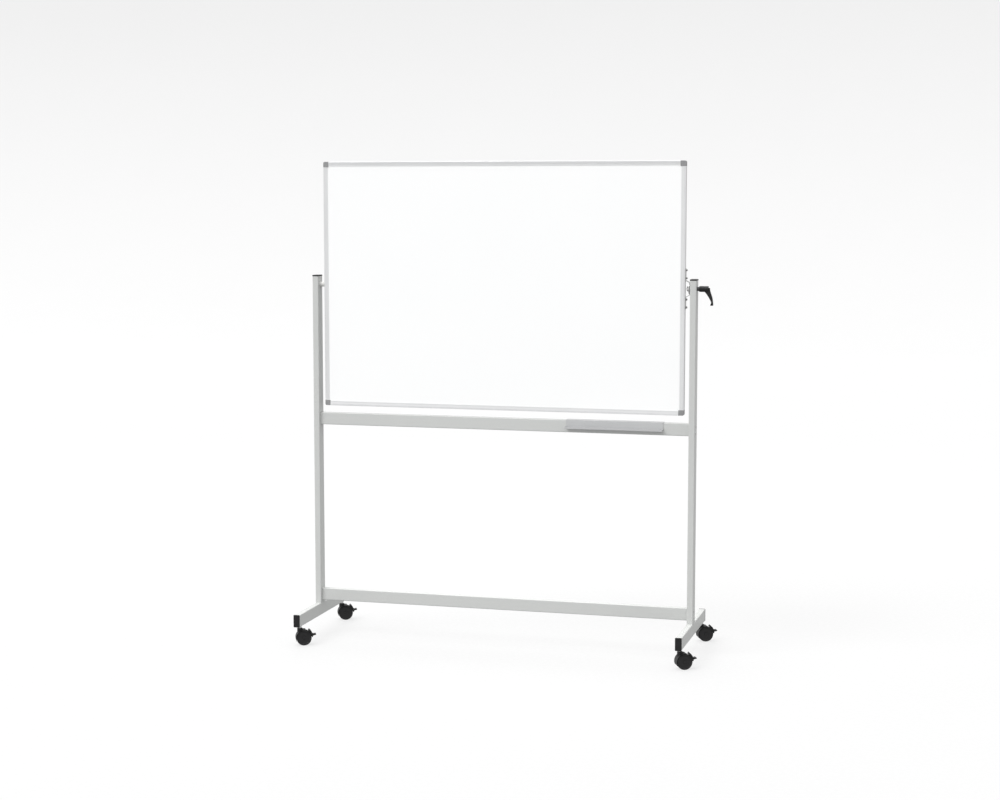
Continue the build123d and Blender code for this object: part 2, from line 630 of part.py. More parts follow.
def make_lever_screw_and_spring():
    """The screw that keeps the handle on its insert, and the spring that pulls the teeth into mesh."""
    head = LEVER_X + LEVER_SCREW_HEAD_START
    tip = LEVER_X + BOSS_END - 9
    with BuildPart() as screw:
        rod((head, 0, PIVOT_Z), (-1, 0, 0), LEVER_SCREW_RADIUS, head - tip)
        rod((head, 0, PIVOT_Z), (1, 0, 0), LEVER_SCREW_HEAD_RADIUS, LEVER_SCREW_HEAD_HEIGHT)
        chamfer(screw.faces().sort_by(Axis.X)[-1].edges(), 0.5)
        crown = (head + LEVER_SCREW_HEAD_HEIGHT, 0, PIVOT_Z)
        with BuildSketch(Plane(origin=crown, z_dir=(-1, 0, 0))):
            RegularPolygon(1.8, 6, major_radius=False)
        extrude(amount=1.8, mode=Mode.SUBTRACT)
    save(screw, "lever_screw")
    start = LEVER_X + BOSS_END + TEETH_PLAY + LEVER_SHOULDER + SPRING_WIRE_RADIUS + 0.1
    height = head - SPRING_WIRE_RADIUS - 0.1 - start
    with BuildPart() as spring:
        with BuildLine():
            coil = Helix(
                height / SPRING_TURNS,
                height,
                SPRING_RADIUS,
                center=(start, 0, PIVOT_Z),
                direction=(1, 0, 0),
            )
        with BuildSketch(Plane(origin=coil @ 0, z_dir=coil % 0)):
            Circle(SPRING_WIRE_RADIUS)
        sweep()
    save(spring, "lever_spring")


def make_lever_handle():
    """The cast handle: a hub over the insert, and an arm that curves out and down to a blunt tip."""
    mouth = LEVER_X + LEVER_NECK_END + 0.3
    hub_end = LEVER_X + LEVER_HUB_END
    teeth_start = LEVER_X + BOSS_END - TEETH_LENGTH
    shoulder = LEVER_X + BOSS_END + TEETH_PLAY
    with BuildPart() as handle:
        with BuildSketch(Plane(origin=(LEVER_X, 0, PIVOT_Z), x_dir=(1, 0, 0), z_dir=(0, -1, 0))) as arm:
            with BuildLine():
                back = Spline((50, 4), (50.8, -6), (57.6, -27), (62, -48), (63, -ARM_DROP))
                belly = Spline(
                    (52.4, -ARM_DROP),
                    (52.8, -61),
                    (55.4, -54),
                    (54, -48),
                    (46.9, -34.4),
                    (37.2, -20),
                    (26, -8),
                )
                Line(back @ 1, belly @ 0)
                Polyline(belly @ 1, (26, 4), back @ 0)
            make_face()
            fillet(arm.vertices().group_by(Axis.Y)[0], ARM_TIP_RADIUS)
        extrude(amount=ARM_THICKNESS / 2, both=True)
        long_edges = handle.edges().filter_by(
            lambda e: abs(abs(e.center().Y) - ARM_THICKNESS / 2) < 0.01 and e.center().Z < PIVOT_Z - 5
        )
        fillet(long_edges, ARM_EDGE_RADIUS)
        rod((mouth, 0, PIVOT_Z), (1, 0, 0), LEVER_HUB_RADIUS, hub_end - mouth)
        rims = handle.edges().filter_by(GeomType.CIRCLE).filter_by(
            lambda e: abs(e.radius - LEVER_HUB_RADIUS) < 0.01 and e.center().X > mouth - 1
        )
        fillet(rims.sort_by(Axis.X)[0], 1.5)
        wide_bore = TEETH_RADIUS + TEETH_PLAY
        rod((mouth - 1, 0, PIVOT_Z), (1, 0, 0), wide_bore, teeth_start - mouth + 1, Mode.SUBTRACT)
        narrow_bore = BOSS_RADIUS + TEETH_PLAY
        rod((mouth, 0, PIVOT_Z), (1, 0, 0), narrow_bore, shoulder - mouth, Mode.SUBTRACT)
        with BuildSketch(Plane(origin=(teeth_start - 0.1, 0, PIVOT_Z), z_dir=(1, 0, 0))):
            with PolarLocations(BOSS_RADIUS - 1, TEETH_COUNT):
                Rectangle(
                    TEETH_RADIUS - BOSS_RADIUS + 1 + TEETH_PLAY,
                    TEETH_WIDTH + 2 * TEETH_PLAY,
                    align=(Align.MIN, Align.CENTER),
                )
        extrude(amount=shoulder - teeth_start + 0.1, mode=Mode.SUBTRACT)
        rod((shoulder - 1, 0, PIVOT_Z), (1, 0, 0), LEVER_SCREW_RADIUS + 0.5, 10, Mode.SUBTRACT)
        chamber = (shoulder + LEVER_SHOULDER, 0, PIVOT_Z)
        rod(chamber, (1, 0, 0), SPRING_CHAMBER_RADIUS, LEVER_HUB_END, Mode.SUBTRACT)
    save(handle, "lever_handle")


# ---------------------------------------------------------------- pen tray


def make_pen_tray():
    """A folded sheet tray that hooks over the middle crossbar and slides along it."""
    bar_front = -TUBE_NARROW / 2 - TRAY_PLAY
    bar_back = TUBE_NARROW / 2 + TRAY_PLAY
    back_front = bar_front - TRAY_SHEET
    over = BAR_TOP_Z + TRAY_PLAY
    top = over + TRAY_SHEET
    floor_top = TRAY_FLOOR_Z + TRAY_SHEET
    lip_top = floor_top + TRAY_LIP_HEIGHT
    outline = [
        (bar_back + TRAY_SHEET, top - TRAY_HOOK_DROP),
        (bar_back + TRAY_SHEET, top),
        (back_front, top),
        (back_front, floor_top),
        (TRAY_FRONT_Y + TRAY_SHEET, floor_top),
        (TRAY_FRONT_Y + TRAY_SHEET, lip_top),
        (TRAY_FRONT_Y, lip_top),
        (TRAY_FRONT_Y, TRAY_FLOOR_Z),
        (bar_front, TRAY_FLOOR_Z),
        (bar_front, over),
        (bar_back, over),
        (bar_back, top - TRAY_HOOK_DROP),
    ]
    half = TRAY_LENGTH / 2
    section = Plane(origin=(TRAY_CENTRE_X, 0, 0), x_dir=(0, 1, 0), z_dir=(1, 0, 0))
    with BuildPart() as tray:
        with BuildSketch(section):
            Polygon(*outline, align=None)
        extrude(amount=half, both=True)
        folds = tray.edges().filter_by(Axis.X)
        outer_folds = [
            e
            for e in folds
            if any(
                abs(e.center().Y - y) < 0.01 and abs(e.center().Z - z) < 0.01
                for y, z in ((TRAY_FRONT_Y, TRAY_FLOOR_Z), (back_front, top), (bar_back + TRAY_SHEET, top))
            )
        ]
        fillet(outer_folds, 1.2)
        for end in (-1, 1):
            with Locations((
                TRAY_CENTRE_X + end * (half - TRAY_SHEET / 2),
                (TRAY_FRONT_Y + back_front) / 2,
                floor_top + TRAY_LIP_HEIGHT / 2,
            )):
                Box(TRAY_SHEET, back_front - TRAY_FRONT_Y - TRAY_SHEET, TRAY_LIP_HEIGHT)
    save(tray, "pen_tray")


# ---------------------------------------------------------------- castors


def castor_plane(x, y):
    """The castor's middle plane: X is the trailing direction, Y is up, the normal is the near axle end."""
    angle = radians(SWIVEL_ANGLE)
    return Plane(
        origin=(x, y, 0), x_dir=(cos(angle), sin(angle), 0), z_dir=(sin(angle), -cos(angle), 0)
    )


def wheel_plane(x, y):
    """The same plane, with its origin at the wheel centre."""
    middle = castor_plane(x, y)
    centre = middle.from_local_coords((TRAIL, WHEEL_RADIUS, 0))
    return Plane(origin=centre, x_dir=middle.x_dir, z_dir=middle.z_dir)


def polar(radius, degrees):
    """A point in the wheel's plane."""
    return (radius * cos(radians(degrees)), radius * sin(radians(degrees)))


def sector(inner, outer, start, end):
    """A ring sector between two radii and two angles, drawn in the current sketch."""
    middle = (start + end) / 2
    with BuildLine() as outline:
        rim = ThreePointArc(polar(outer, start), polar(outer, middle), polar(outer, end))
        bore = ThreePointArc(polar(inner, end), polar(inner, middle), polar(inner, start))
        Line(rim @ 1, bore @ 0)
        Line(bore @ 1, rim @ 0)
    make_face(outline.line)


def make_castor_housing(name, x, y):
    """Hood over the twin wheels, a web between them, the stem socket, and the lug that carries the pedal."""
    plane = wheel_plane(x, y)
    pivot = polar(PEDAL_PIVOT_RADIUS, PEDAL_PIVOT_ANGLE)
    with BuildPart() as housing:
        base = WHEEL_RADIUS + 12
        rod((x, y, base), (0, 0, 1), HOUSING_BOSS_RADIUS, HOUSING_TOP_Z - base)
        fillet(housing.faces().sort_by(Axis.Z)[-1].edges(), 2)
        with BuildSketch(plane):
            Circle((HOOD_INNER + HOOD_OUTER) / 2)
        extrude(amount=WHEEL_OUTER + 1, both=True, mode=Mode.SUBTRACT)
        with BuildSketch(plane):
            sector(HOOD_INNER, HOOD_OUTER, HOOD_FROM, HOOD_TO)
        extrude(amount=WHEEL_OUTER, both=True)
        with BuildSketch(plane):
            sector(1, HOOD_INNER + 0.5, HOOD_FROM + 2, HOOD_TO - 6)
            Circle(HUB_RADIUS)
        extrude(amount=HOUSING_WEB_HALF, both=True)
        with BuildSketch(plane):
            with Locations(pivot):
                Circle(PEDAL_LUG_RADIUS)
            with Locations((pivot[0] / 2, pivot[1] / 2)):
                Rectangle(PEDAL_PIVOT_RADIUS, PEDAL_LUG_RADIUS * 1.6, rotation=PEDAL_PIVOT_ANGLE)
        extrude(amount=PEDAL_LUG_HALF, both=True)
        with BuildSketch(plane):
            with Locations(pivot):
                Circle(PEDAL_PIN_RADIUS)
        extrude(amount=PEDAL_WEB_HALF, both=True)
        with BuildSketch(plane):
            Circle(AXLE_RADIUS)
        extrude(amount=WHEEL_OUTER, both=True, mode=Mode.SUBTRACT)
        socket = (x, y, STEM_BOTTOM_Z - 0.3)
        rod(socket, (0, 0, 1), STEM_RADIUS + RUNNING_PLAY, TUBE_WIDE, Mode.SUBTRACT)
    save(housing, f"castor_housing_{name}")


def make_castor_axle(name, x, y):
    """A plain steel pin held in the housing's web."""
    with BuildPart() as axle:
        with BuildSketch(wheel_plane(x, y)):
            Circle(AXLE_RADIUS)
        extrude(amount=AXLE_HALF_LENGTH, both=True)
        chamfer(axle.edges().filter_by(GeomType.CIRCLE), 0.5)
    save(axle, f"castor_axle_{name}")


def make_castor_wheels(name, x, y):
    """Twin wheels, closed and slightly dished outside, hollow inside, each free on the axle."""
    middle = wheel_plane(x, y)
    axis = Axis(middle.origin, middle.z_dir)
    bore = AXLE_RADIUS + RUNNING_PLAY
    for place, out in (("near", 1), ("far", -1)):
        section = Plane(origin=middle.origin, x_dir=middle.z_dir * out, z_dir=middle.x_dir * -out)
        with BuildPart() as wheel:
            with BuildSketch(section):
                with BuildLine():
                    base = Polyline(
                        (AXLE_HALF_LENGTH + 0.5, 0),
                        (WHEEL_OUTER - 0.3, 0),
                        (WHEEL_OUTER - 0.3, 7),
                        (WHEEL_OUTER - 1.6, 9),
                        (WHEEL_OUTER - 1.6, 24.5),
                        (WHEEL_OUTER - 0.2, 25.5),
                        (WHEEL_OUTER, WHEEL_RADIUS - WHEEL_EDGE),
                    )
                    RadiusArc(base @ 1, (WHEEL_OUTER - WHEEL_EDGE, WHEEL_RADIUS), -WHEEL_EDGE)
                    Polyline(
                        (WHEEL_OUTER - WHEEL_EDGE, WHEEL_RADIUS),
                        (WHEEL_INNER + 1, WHEEL_RADIUS),
                        (WHEEL_INNER, WHEEL_RADIUS - 1),
                        (WHEEL_INNER, WHEEL_RADIUS - 4),
                        (WHEEL_OUTER - 4.5, WHEEL_RADIUS - 4.5),
                        (WHEEL_OUTER - 4.5, 8),
                        (WHEEL_INNER, 7.5),
                        (WHEEL_INNER, bore),
                        (AXLE_HALF_LENGTH + 0.5, bore),
                        (AXLE_HALF_LENGTH + 0.5, 0),
                    )
                make_face()
            revolve(axis=axis)
        save(wheel, f"wheel_{name}_{place}")


def make_brake_pedal(name, x, y):
    """A pedal that wraps the rims and pivots on the housing's lug; its tip presses it onto the treads."""
    plane = wheel_plane(x, y)
    pivot = polar(PEDAL_PIVOT_RADIUS, PEDAL_PIVOT_ANGLE)
    with BuildPart() as pedal:
        with BuildSketch(plane):
            sector(PEDAL_INNER, PEDAL_OUTER, PEDAL_FROM, PEDAL_TO)
            Polygon(
                polar(PEDAL_INNER + 1, PEDAL_FROM + 8),
                polar(PEDAL_OUTER, PEDAL_FROM + 10),
                polar(PEDAL_HORN_RADIUS - 1.4, PEDAL_TO - 28),
                polar(PEDAL_HORN_RADIUS - 0.4, PEDAL_TO - 12),
                polar(PEDAL_HORN_RADIUS + 0.6, PEDAL_TO + 1),
                polar(PEDAL_INNER + 1, PEDAL_TO - 4),
                polar(PEDAL_INNER + 1, PEDAL_TO - 25),
                align=None,
            )
        extrude(amount=PEDAL_HALF_WIDTH, both=True)
        with BuildSketch(plane):
            root_low = polar(PEDAL_INNER + 1, PEDAL_FROM + 3)
            root_high = polar(PEDAL_INNER + 1, PEDAL_FROM + 24)
            with BuildLine():
                underside = Polyline(root_low, (PEDAL_OUTER + 4, 8.4), (PEDAL_TIP_RADIUS - 2.6, 9.8))
                nose = ThreePointArc(underside @ 1, (PEDAL_TIP_RADIUS, 12.4), (PEDAL_TIP_RADIUS - 2.6, 15))
                Polyline(nose @ 1, (PEDAL_OUTER + 4, 13.6), (PEDAL_OUTER, 15), root_high, root_low)
            make_face()
        extrude(amount=PEDAL_TIP_HALF_WIDTH, both=True)
        with BuildSketch(plane):
            sector(20, PEDAL_INNER + 1, PEDAL_FROM + 2, PEDAL_TO - 2)
            sector(PEDAL_PIVOT_RADIUS, 21, 24, 56)
            with Locations(pivot):
                Circle(5)
        extrude(amount=PEDAL_WEB_HALF, both=True)
        with BuildSketch(plane):
            with Locations(pivot):
                Circle(PEDAL_LUG_RADIUS + 0.4)
            with Locations((pivot[0] / 2, pivot[1] / 2)):
                Rectangle(PEDAL_PIVOT_RADIUS, PEDAL_LUG_RADIUS * 2.4, rotation=PEDAL_PIVOT_ANGLE)
        extrude(amount=PEDAL_LUG_HALF + 0.3, both=True, mode=Mode.SUBTRACT)
        with BuildSketch(plane):
            with Locations(pivot):
                Circle(PEDAL_PIN_RADIUS + RUNNING_PLAY)
        extrude(amount=PEDAL_WEB_HALF + 1, both=True, mode=Mode.SUBTRACT)
    save(pedal, f"brake_pedal_{name}")


def make_castor_stems():
    """Four steel stems with a hexagon collar under the foot, and the nuts that hold them inside it."""
    with BuildPart() as stems:
        for x, y in CASTORS.values():
            rod((x, y, STEM_BOTTOM_Z), (0, 0, 1), STEM_RADIUS, STEM_TOP_Z - STEM_BOTTOM_Z)
            collar = (x, y, FOOT_BOTTOM_Z - STEM_COLLAR_HEIGHT)
            hexagon(collar, (0, 0, 1), STEM_COLLAR_FLATS, STEM_COLLAR_HEIGHT)
    save(stems, "castor_stems")
    with BuildPart() as nuts:
        for x, y in CASTORS.values():
            seat = FOOT_BOTTOM_Z + TUBE_WALL
            hexagon((x, y, seat), (0, 0, 1), STEM_COLLAR_FLATS, 8)
            rod((x, y, seat - 1), (0, 0, 1), STEM_RADIUS, 10, Mode.SUBTRACT)
    save(nuts, "castor_nuts")


def make_castors():
    """The four castors, all swivelled the same way."""
    make_castor_stems()
    for name, (x, y) in CASTORS.items():
        make_castor_housing(name, x, y)
        make_castor_axle(name, x, y)
        make_castor_wheels(name, x, y)
        make_brake_pedal(name, x, y)


make_frame()
make_corner_caps()
make_panel()
make_uprights()
make_crossbars()
make_feet()
make_tube_caps()
make_stand_fasteners()
make_left_pivot()
make_clamp_bracket()
make_clamp_post_parts()
make_clamp_stud()
make_lever_screw_and_spring()
make_lever_handle()
make_pen_tray()
make_castors()
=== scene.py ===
"""Looks, light and camera for the rolling whiteboard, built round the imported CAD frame."""

import json
import math

import bmesh
import bpy
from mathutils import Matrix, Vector


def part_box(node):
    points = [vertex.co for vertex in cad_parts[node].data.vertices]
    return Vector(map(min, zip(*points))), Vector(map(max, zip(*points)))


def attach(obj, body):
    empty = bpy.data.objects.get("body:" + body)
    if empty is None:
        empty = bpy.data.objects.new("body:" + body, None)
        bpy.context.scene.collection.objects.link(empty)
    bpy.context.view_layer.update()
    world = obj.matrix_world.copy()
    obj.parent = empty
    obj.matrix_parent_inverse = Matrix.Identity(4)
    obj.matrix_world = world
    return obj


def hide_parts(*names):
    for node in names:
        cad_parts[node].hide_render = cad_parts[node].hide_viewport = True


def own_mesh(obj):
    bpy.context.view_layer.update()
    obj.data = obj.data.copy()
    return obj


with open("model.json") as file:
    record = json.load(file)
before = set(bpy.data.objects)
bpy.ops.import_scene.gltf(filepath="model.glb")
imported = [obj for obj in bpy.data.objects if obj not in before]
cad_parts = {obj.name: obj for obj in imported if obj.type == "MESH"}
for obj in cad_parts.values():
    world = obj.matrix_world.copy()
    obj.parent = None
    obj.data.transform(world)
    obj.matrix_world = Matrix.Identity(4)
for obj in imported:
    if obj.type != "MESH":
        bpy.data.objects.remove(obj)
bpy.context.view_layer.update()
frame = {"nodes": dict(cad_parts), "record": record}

NODES = frame["nodes"]
JOINTS = {j["name"]: j for j in frame["record"]["behaviour"]["joints"]}
CASTORS = ("front_left", "front_right", "rear_left", "rear_right")

# wheel section in metres: distance out from the castor's middle plane, and radius
WHEEL_RADIUS = JOINTS["roll_front_left_near"]["pos_m"][2]
WHEEL_INNER = 0.005
WHEEL_OUTER = 0.0195
WHEEL_EDGE = 0.003
WHEEL_SEGMENTS = 96
AXLE_END = 0.016
BORE_RADIUS = 0.00306
SHARP_EDGE = math.radians(32)  # wheel edges that bend more than this are shaded sharp

# the clamping lever's spring, in metres; its two closed end turns are counted
SPRING_TURNS = 6.5
SPRING_WIRE = 0.00045
SPRING_STEPS = 40  # rings per turn
SPRING_SIDES = 10  # corners round the wire

# floor sheet in metres: half width, nearest and farthest flat edge, radius of the bend, top
FLOOR_HALF_WIDTH = 22.0
FLOOR_FRONT = -14.0
FLOOR_BACK = 14.0
FLOOR_BEND = 5.0
FLOOR_TOP = 14.0
FLOOR_BEND_STEPS = 12

# camera: in front of the board, to its right and a little above its middle
CAMERA_PLACE = (2.086, -7.652, 1.844)
CAMERA_DOWN = 0.1057  # radians below level
CAMERA_TURN = 0.2666  # radians to the left of straight ahead
CAMERA_LENS = 70.97  # mm, on a sensor 36 mm wide
SENSOR_WIDTH = 36.0

# lamps: name, way to the sun, strength, angular size in degrees
SUNS = (
    ("key", (-0.46, -0.45, 0.77), 1.5, 28),
    ("overhead", (-0.05, 0.0, 1.0), 1.55, 40),
)
# lamps: name, place, side in metres, watts; both are aimed at LAMP_TARGET
SOFTBOXES = (
    ("softbox_left", (-4.2, -4.4, 3.4), 2.6, 12),
    ("softbox_rear", (-1.5, 4.6, 3.8), 2.6, 30),
)
LAMP_TARGET = Vector((0, 0, 1.0))


def object_from(bm, name):
    """The finished bmesh as a new object in the scene."""
    mesh = bpy.data.meshes.new(name)
    bm.to_mesh(mesh)
    bm.free()
    made = bpy.data.objects.new(name, mesh)
    bpy.context.scene.collection.objects.link(made)
    return made


# ------------------------------------------------------------------ material building


class Look:
    """A Principled material with short calls for the node chains that the finishes share."""

    def __init__(self, name, metallic=0.0, roughness=0.5, ior=1.5, coat=0.0, coat_roughness=0.1):
        self.mat = bpy.data.materials.new(name)
        self.mat.use_nodes = True
        self.tree = self.mat.node_tree
        self.tree.nodes.clear()
        out = self.node("ShaderNodeOutputMaterial")
        self.bsdf = self.node("ShaderNodeBsdfPrincipled")
        self.tree.links.new(self.bsdf.outputs[0], out.inputs[0])
        self.bsdf.inputs["Metallic"].default_value = metallic
        self.bsdf.inputs["Roughness"].default_value = roughness
        self.bsdf.inputs["IOR"].default_value = ior
        self.bsdf.inputs["Coat Weight"].default_value = coat
        self.bsdf.inputs["Coat Roughness"].default_value = coat_roughness
        self.coords = self.node("ShaderNodeTexCoord")
        self.last_normal = None

    def node(self, kind, **settings):
        made = self.tree.nodes.new(kind)
        for key, value in settings.items():
            setattr(made, key, value)
        return made

    def link(self, source, target):
        self.tree.links.new(source, target)

    def put(self, socket, value):
        """A number, a colour or another node's output goes into the socket."""
        if isinstance(value, bpy.types.NodeSocket):
            self.link(value, socket)
        else:
            socket.default_value = value

    def at(self, stretch=(1, 1, 1), shift=(0, 0, 0)):
        """The piece's own coordinates, in metres, stretched for grain that runs one way."""
        mapping = self.node("ShaderNodeMapping")
        mapping.inputs["Scale"].default_value = stretch
        mapping.inputs["Location"].default_value = shift
        self.link(self.coords.outputs["Object"], mapping.inputs["Vector"])
        return mapping.outputs[0]

    def noise(self, scale, detail=2.0, roughness=0.5, distortion=0.0, stretch=(1, 1, 1), shift=(0, 0, 0)):
        tex = self.node("ShaderNodeTexNoise")
        tex.inputs["Scale"].default_value = scale
        tex.inputs["Detail"].default_value = detail
        tex.inputs["Roughness"].default_value = roughness
        tex.inputs["Distortion"].default_value = distortion
        self.link(self.at(stretch, shift), tex.inputs["Vector"])
        return tex.outputs["Fac"]

    def cells(self, scale, feature="F1", stretch=(1, 1, 1)):
        tex = self.node("ShaderNodeTexVoronoi", feature=feature)
        tex.inputs["Scale"].default_value = scale
        self.link(self.at(stretch), tex.inputs["Vector"])
        return tex.outputs["Distance"]

    def span(self, value, low, high, to_low=0.0, to_high=1.0):
        """Maps low..high to to_low..to_high, clamped."""
        node = self.node("ShaderNodeMapRange")
        self.put(node.inputs["Value"], value)
        node.inputs["From Min"].default_value = low
        node.inputs["From Max"].default_value = high
        node.inputs["To Min"].default_value = to_low
        node.inputs["To Max"].default_value = to_high
        return node.outputs[0]

    def math(self, operation, a, b=0.0):
        node = self.node("ShaderNodeMath", operation=operation)
        self.put(node.inputs[0], a)
        self.put(node.inputs[1], b)
        return node.outputs[0]

    def blend(self, factor, a, b):
        """Colour a where factor is 0, colour b where it is 1."""
        node = self.node("ShaderNodeMix", data_type="RGBA")
        self.put(node.inputs[0], factor)
        self.put(node.inputs[6], a if isinstance(a, bpy.types.NodeSocket) else (*a, 1))
        self.put(node.inputs[7], b if isinstance(b, bpy.types.NodeSocket) else (*b, 1))
        return node.outputs[2]

    def colour(self, value):
        self.put(self.bsdf.inputs["Base Color"], value)

    def rough(self, value):
        self.put(self.bsdf.inputs["Roughness"], value)

    def bump(self, height, distance, strength=1.0):
        """Adds a relief of that many metres on top of any earlier one."""
        node = self.node("ShaderNodeBump")
        node.inputs["Distance"].default_value = distance
        node.inputs["Strength"].default_value = strength
        self.link(height, node.inputs["Height"])
        if self.last_normal is not None:
            self.link(self.last_normal, node.inputs["Normal"])
        self.last_normal = node.outputs[0]
        self.link(self.last_normal, self.bsdf.inputs["Normal"])

    def facing_up(self):
        """0 to 1: how far the piece's own surface faces up."""
        split = self.node("ShaderNodeSeparateXYZ")
        self.link(self.coords.outputs["Normal"], split.inputs[0])
        return self.span(split.outputs[2], 0.2, 1.0)

    def height(self):
        """Height above the floor in the piece's own coordinates."""
        split = self.node("ShaderNodeSeparateXYZ")
        self.link(self.coords.outputs["Object"], split.inputs[0])
        return split.outputs[2]

    def scratches(self, scale, stretch, amount=0.66):
        """Sparse thin marks: a strongly stretched noise, cut near its top."""
        lines = self.noise(scale, 3.0, 0.6, 0.4, stretch)
        patches = self.span(self.noise(scale * 0.05, 2.0), 0.45, 0.7)
        return self.math("MULTIPLY", self.span(lines, amount, amount + 0.05), patches)


def powder_coat(name, base, shade, rough_low=0.36, rough_high=0.5):
    """Baked powder paint: orange peel, a little metallic fleck, faint scuffs towards the floor."""
    look = Look(name)
    look.bsdf.inputs["Specular IOR Level"].default_value = 0.35
    drift = look.span(look.noise(3.0, 3.0), 0.3, 0.7)
    fleck = look.span(look.noise(2600.0, 1.0), 0.62, 0.72, 0.0, 0.3)
    body = look.blend(drift, base, shade)
    body = look.blend(fleck, body, tuple(min(1.0, c * 1.22) for c in base))
    low = look.span(look.height(), 0.45, 0.08)
    scuff = look.math("MULTIPLY", look.scratches(160.0, (1.0, 1.0, 0.12)), look.span(low, 0, 1, 0.25, 1.0))
    settled = look.facing_up()
    dust = look.math("MULTIPLY", settled, look.span(look.noise(38.0, 4.0, 0.7), 0.42, 0.75, 0.02, 0.2))
    body = look.blend(look.math("MULTIPLY", scuff, 0.45), body, tuple(c * 0.62 for c in base))
    body = look.blend(dust, body, (0.66, 0.65, 0.62))
    look.colour(body)
    peel = look.noise(420.0, 2.0, 0.45)
    base_rough = look.span(peel, 0.3, 0.7, rough_low, rough_high)
    look.rough(look.math("ADD", base_rough, look.math("MULTIPLY", scuff, 0.2)))
    look.bump(peel, 0.00022, 0.55)
    look.bump(look.noise(1500.0, 1.0), 0.00005, 0.5)
    look.bump(look.math("MULTIPLY", scuff, -1.0), 0.00006, 0.6)
    return look.mat


def extruded_aluminium(name, run, base=(0.78, 0.785, 0.79)):
    """Satin anodised extrusion: fine die lines along its run, a few handling marks across it."""
    along = {"x": (0.012, 1, 1), "z": (1, 1, 0.012)}[run]
    look = Look(name, metallic=0.5, roughness=0.34)
    die = look.noise(900.0, 3.0, 0.6, 0.0, along)
    broad = look.noise(130.0, 2.0, 0.5, 0.0, along)
    cloud = look.span(look.noise(5.0, 3.0), 0.3, 0.7)
    body = look.blend(cloud, base, tuple(c * 0.955 for c in base))
    body = look.blend(look.span(die, 0.35, 0.72, 0.0, 0.35), body, tuple(c * 0.86 for c in base))
    marks = look.scratches(240.0, (1.0, 1.0, 1.0), 0.7)
    body = look.blend(look.math("MULTIPLY", marks, 0.3), body, tuple(c * 0.7 for c in base))
    look.colour(body)
    look.rough(look.span(look.math("ADD", die, broad), 0.7, 1.3, 0.27, 0.43))
    look.bump(die, 0.00006, 0.5)
    look.bump(broad, 0.00012, 0.35)
    return look.mat


def writing_enamel(name):
    """Glossy white enamel on steel: very slight waviness, and wiping marks that show only in the gloss."""
    look = Look(name, roughness=0.1, ior=1.52, coat=0.35, coat_roughness=0.04)
    wipe = look.noise(9.0, 4.0, 0.62, 1.6, (1.0, 1.0, 0.35))
    smear = look.span(wipe, 0.48, 0.74)
    haze = look.span(look.noise(2.2, 3.0), 0.35, 0.7)
    ghost = look.span(look.noise(26.0, 5.0, 0.7, 2.4, (1.0, 1.0, 0.5)), 0.64, 0.74)
    body = look.blend(haze, (0.97, 0.974, 0.974), (0.962, 0.967, 0.968))
    body = look.blend(look.math("MULTIPLY", ghost, 0.035), body, (0.55, 0.6, 0.68))
    fine = look.noise(3200.0, 1.0)
    body = look.blend(look.span(fine, 0.7, 0.78, 0.0, 0.06), body, (0.74, 0.75, 0.76))
    look.colour(body)
    look.rough(look.span(smear, 0.0, 1.0, 0.085, 0.19))
    look.bump(look.noise(14.0, 2.0), 0.0003, 0.1)
    look.bump(look.noise(700.0, 1.0), 0.00002, 0.35)
    return look.mat


def moulded_plastic(name, base, rough_low=0.42, rough_high=0.58, grain=1400.0, dusty=0.1, gloss=0.5):
    """Spark-eroded mould grain, flow marks, light handling scuffs and a little dust on what faces up."""
    look = Look(name, ior=1.46)
    look.bsdf.inputs["Specular IOR Level"].default_value = gloss
    flow = look.span(look.noise(55.0, 3.0, 0.5, 0.8), 0.3, 0.7)
    body = look.blend(flow, base, tuple(c * 1.22 + 0.002 for c in base))
    pits = look.cells(grain)
    scuff = look.scratches(300.0, (1.0, 1.0, 1.0), 0.64)
    lighter = tuple(min(1.0, c * 1.5 + 0.03) for c in base)
    body = look.blend(look.math("MULTIPLY", scuff, 0.4), body, lighter)
    settled = look.facing_up()
    dust = look.math("MULTIPLY", settled, look.span(look.noise(180.0, 4.0, 0.7), 0.4, 0.75, 0.1, 1.0))
    body = look.blend(look.math("MULTIPLY", dust, dusty), body, (0.5, 0.49, 0.47))
    look.colour(body)
    look.rough(look.span(look.noise(grain * 0.5, 2.0), 0.3, 0.7, rough_low, rough_high))
    look.bump(pits, 0.00007, 0.55)
    look.bump(look.noise(grain * 2.2, 1.0), 0.00003, 0.5)
    return look.mat


def turned_steel(name, base=(0.62, 0.62, 0.63), rough_low=0.24, rough_high=0.4, grain=(1, 1, 1)):
    """Zinc-plated or turned steel: fine tool grain, a cloudy passivated tint, small dark specks."""
    look = Look(name, metallic=1.0, roughness=0.3)
    cloud = look.span(look.noise(240.0, 3.0, 0.6), 0.3, 0.72)
    body = look.blend(cloud, base, tuple(c * f for c, f in zip(base, (0.9, 0.89, 0.85))))
    specks = look.span(look.noise(1900.0, 2.0, 0.6), 0.66, 0.74, 0.0, 0.4)
    body = look.blend(specks, body, tuple(c * 0.45 for c in base))
    look.colour(body)
    lines = look.noise(1700.0, 2.0, 0.6, 0.0, grain)
    look.rough(look.span(lines, 0.3, 0.7, rough_low, rough_high))
    look.bump(lines, 0.00005, 0.5)
    return look.mat


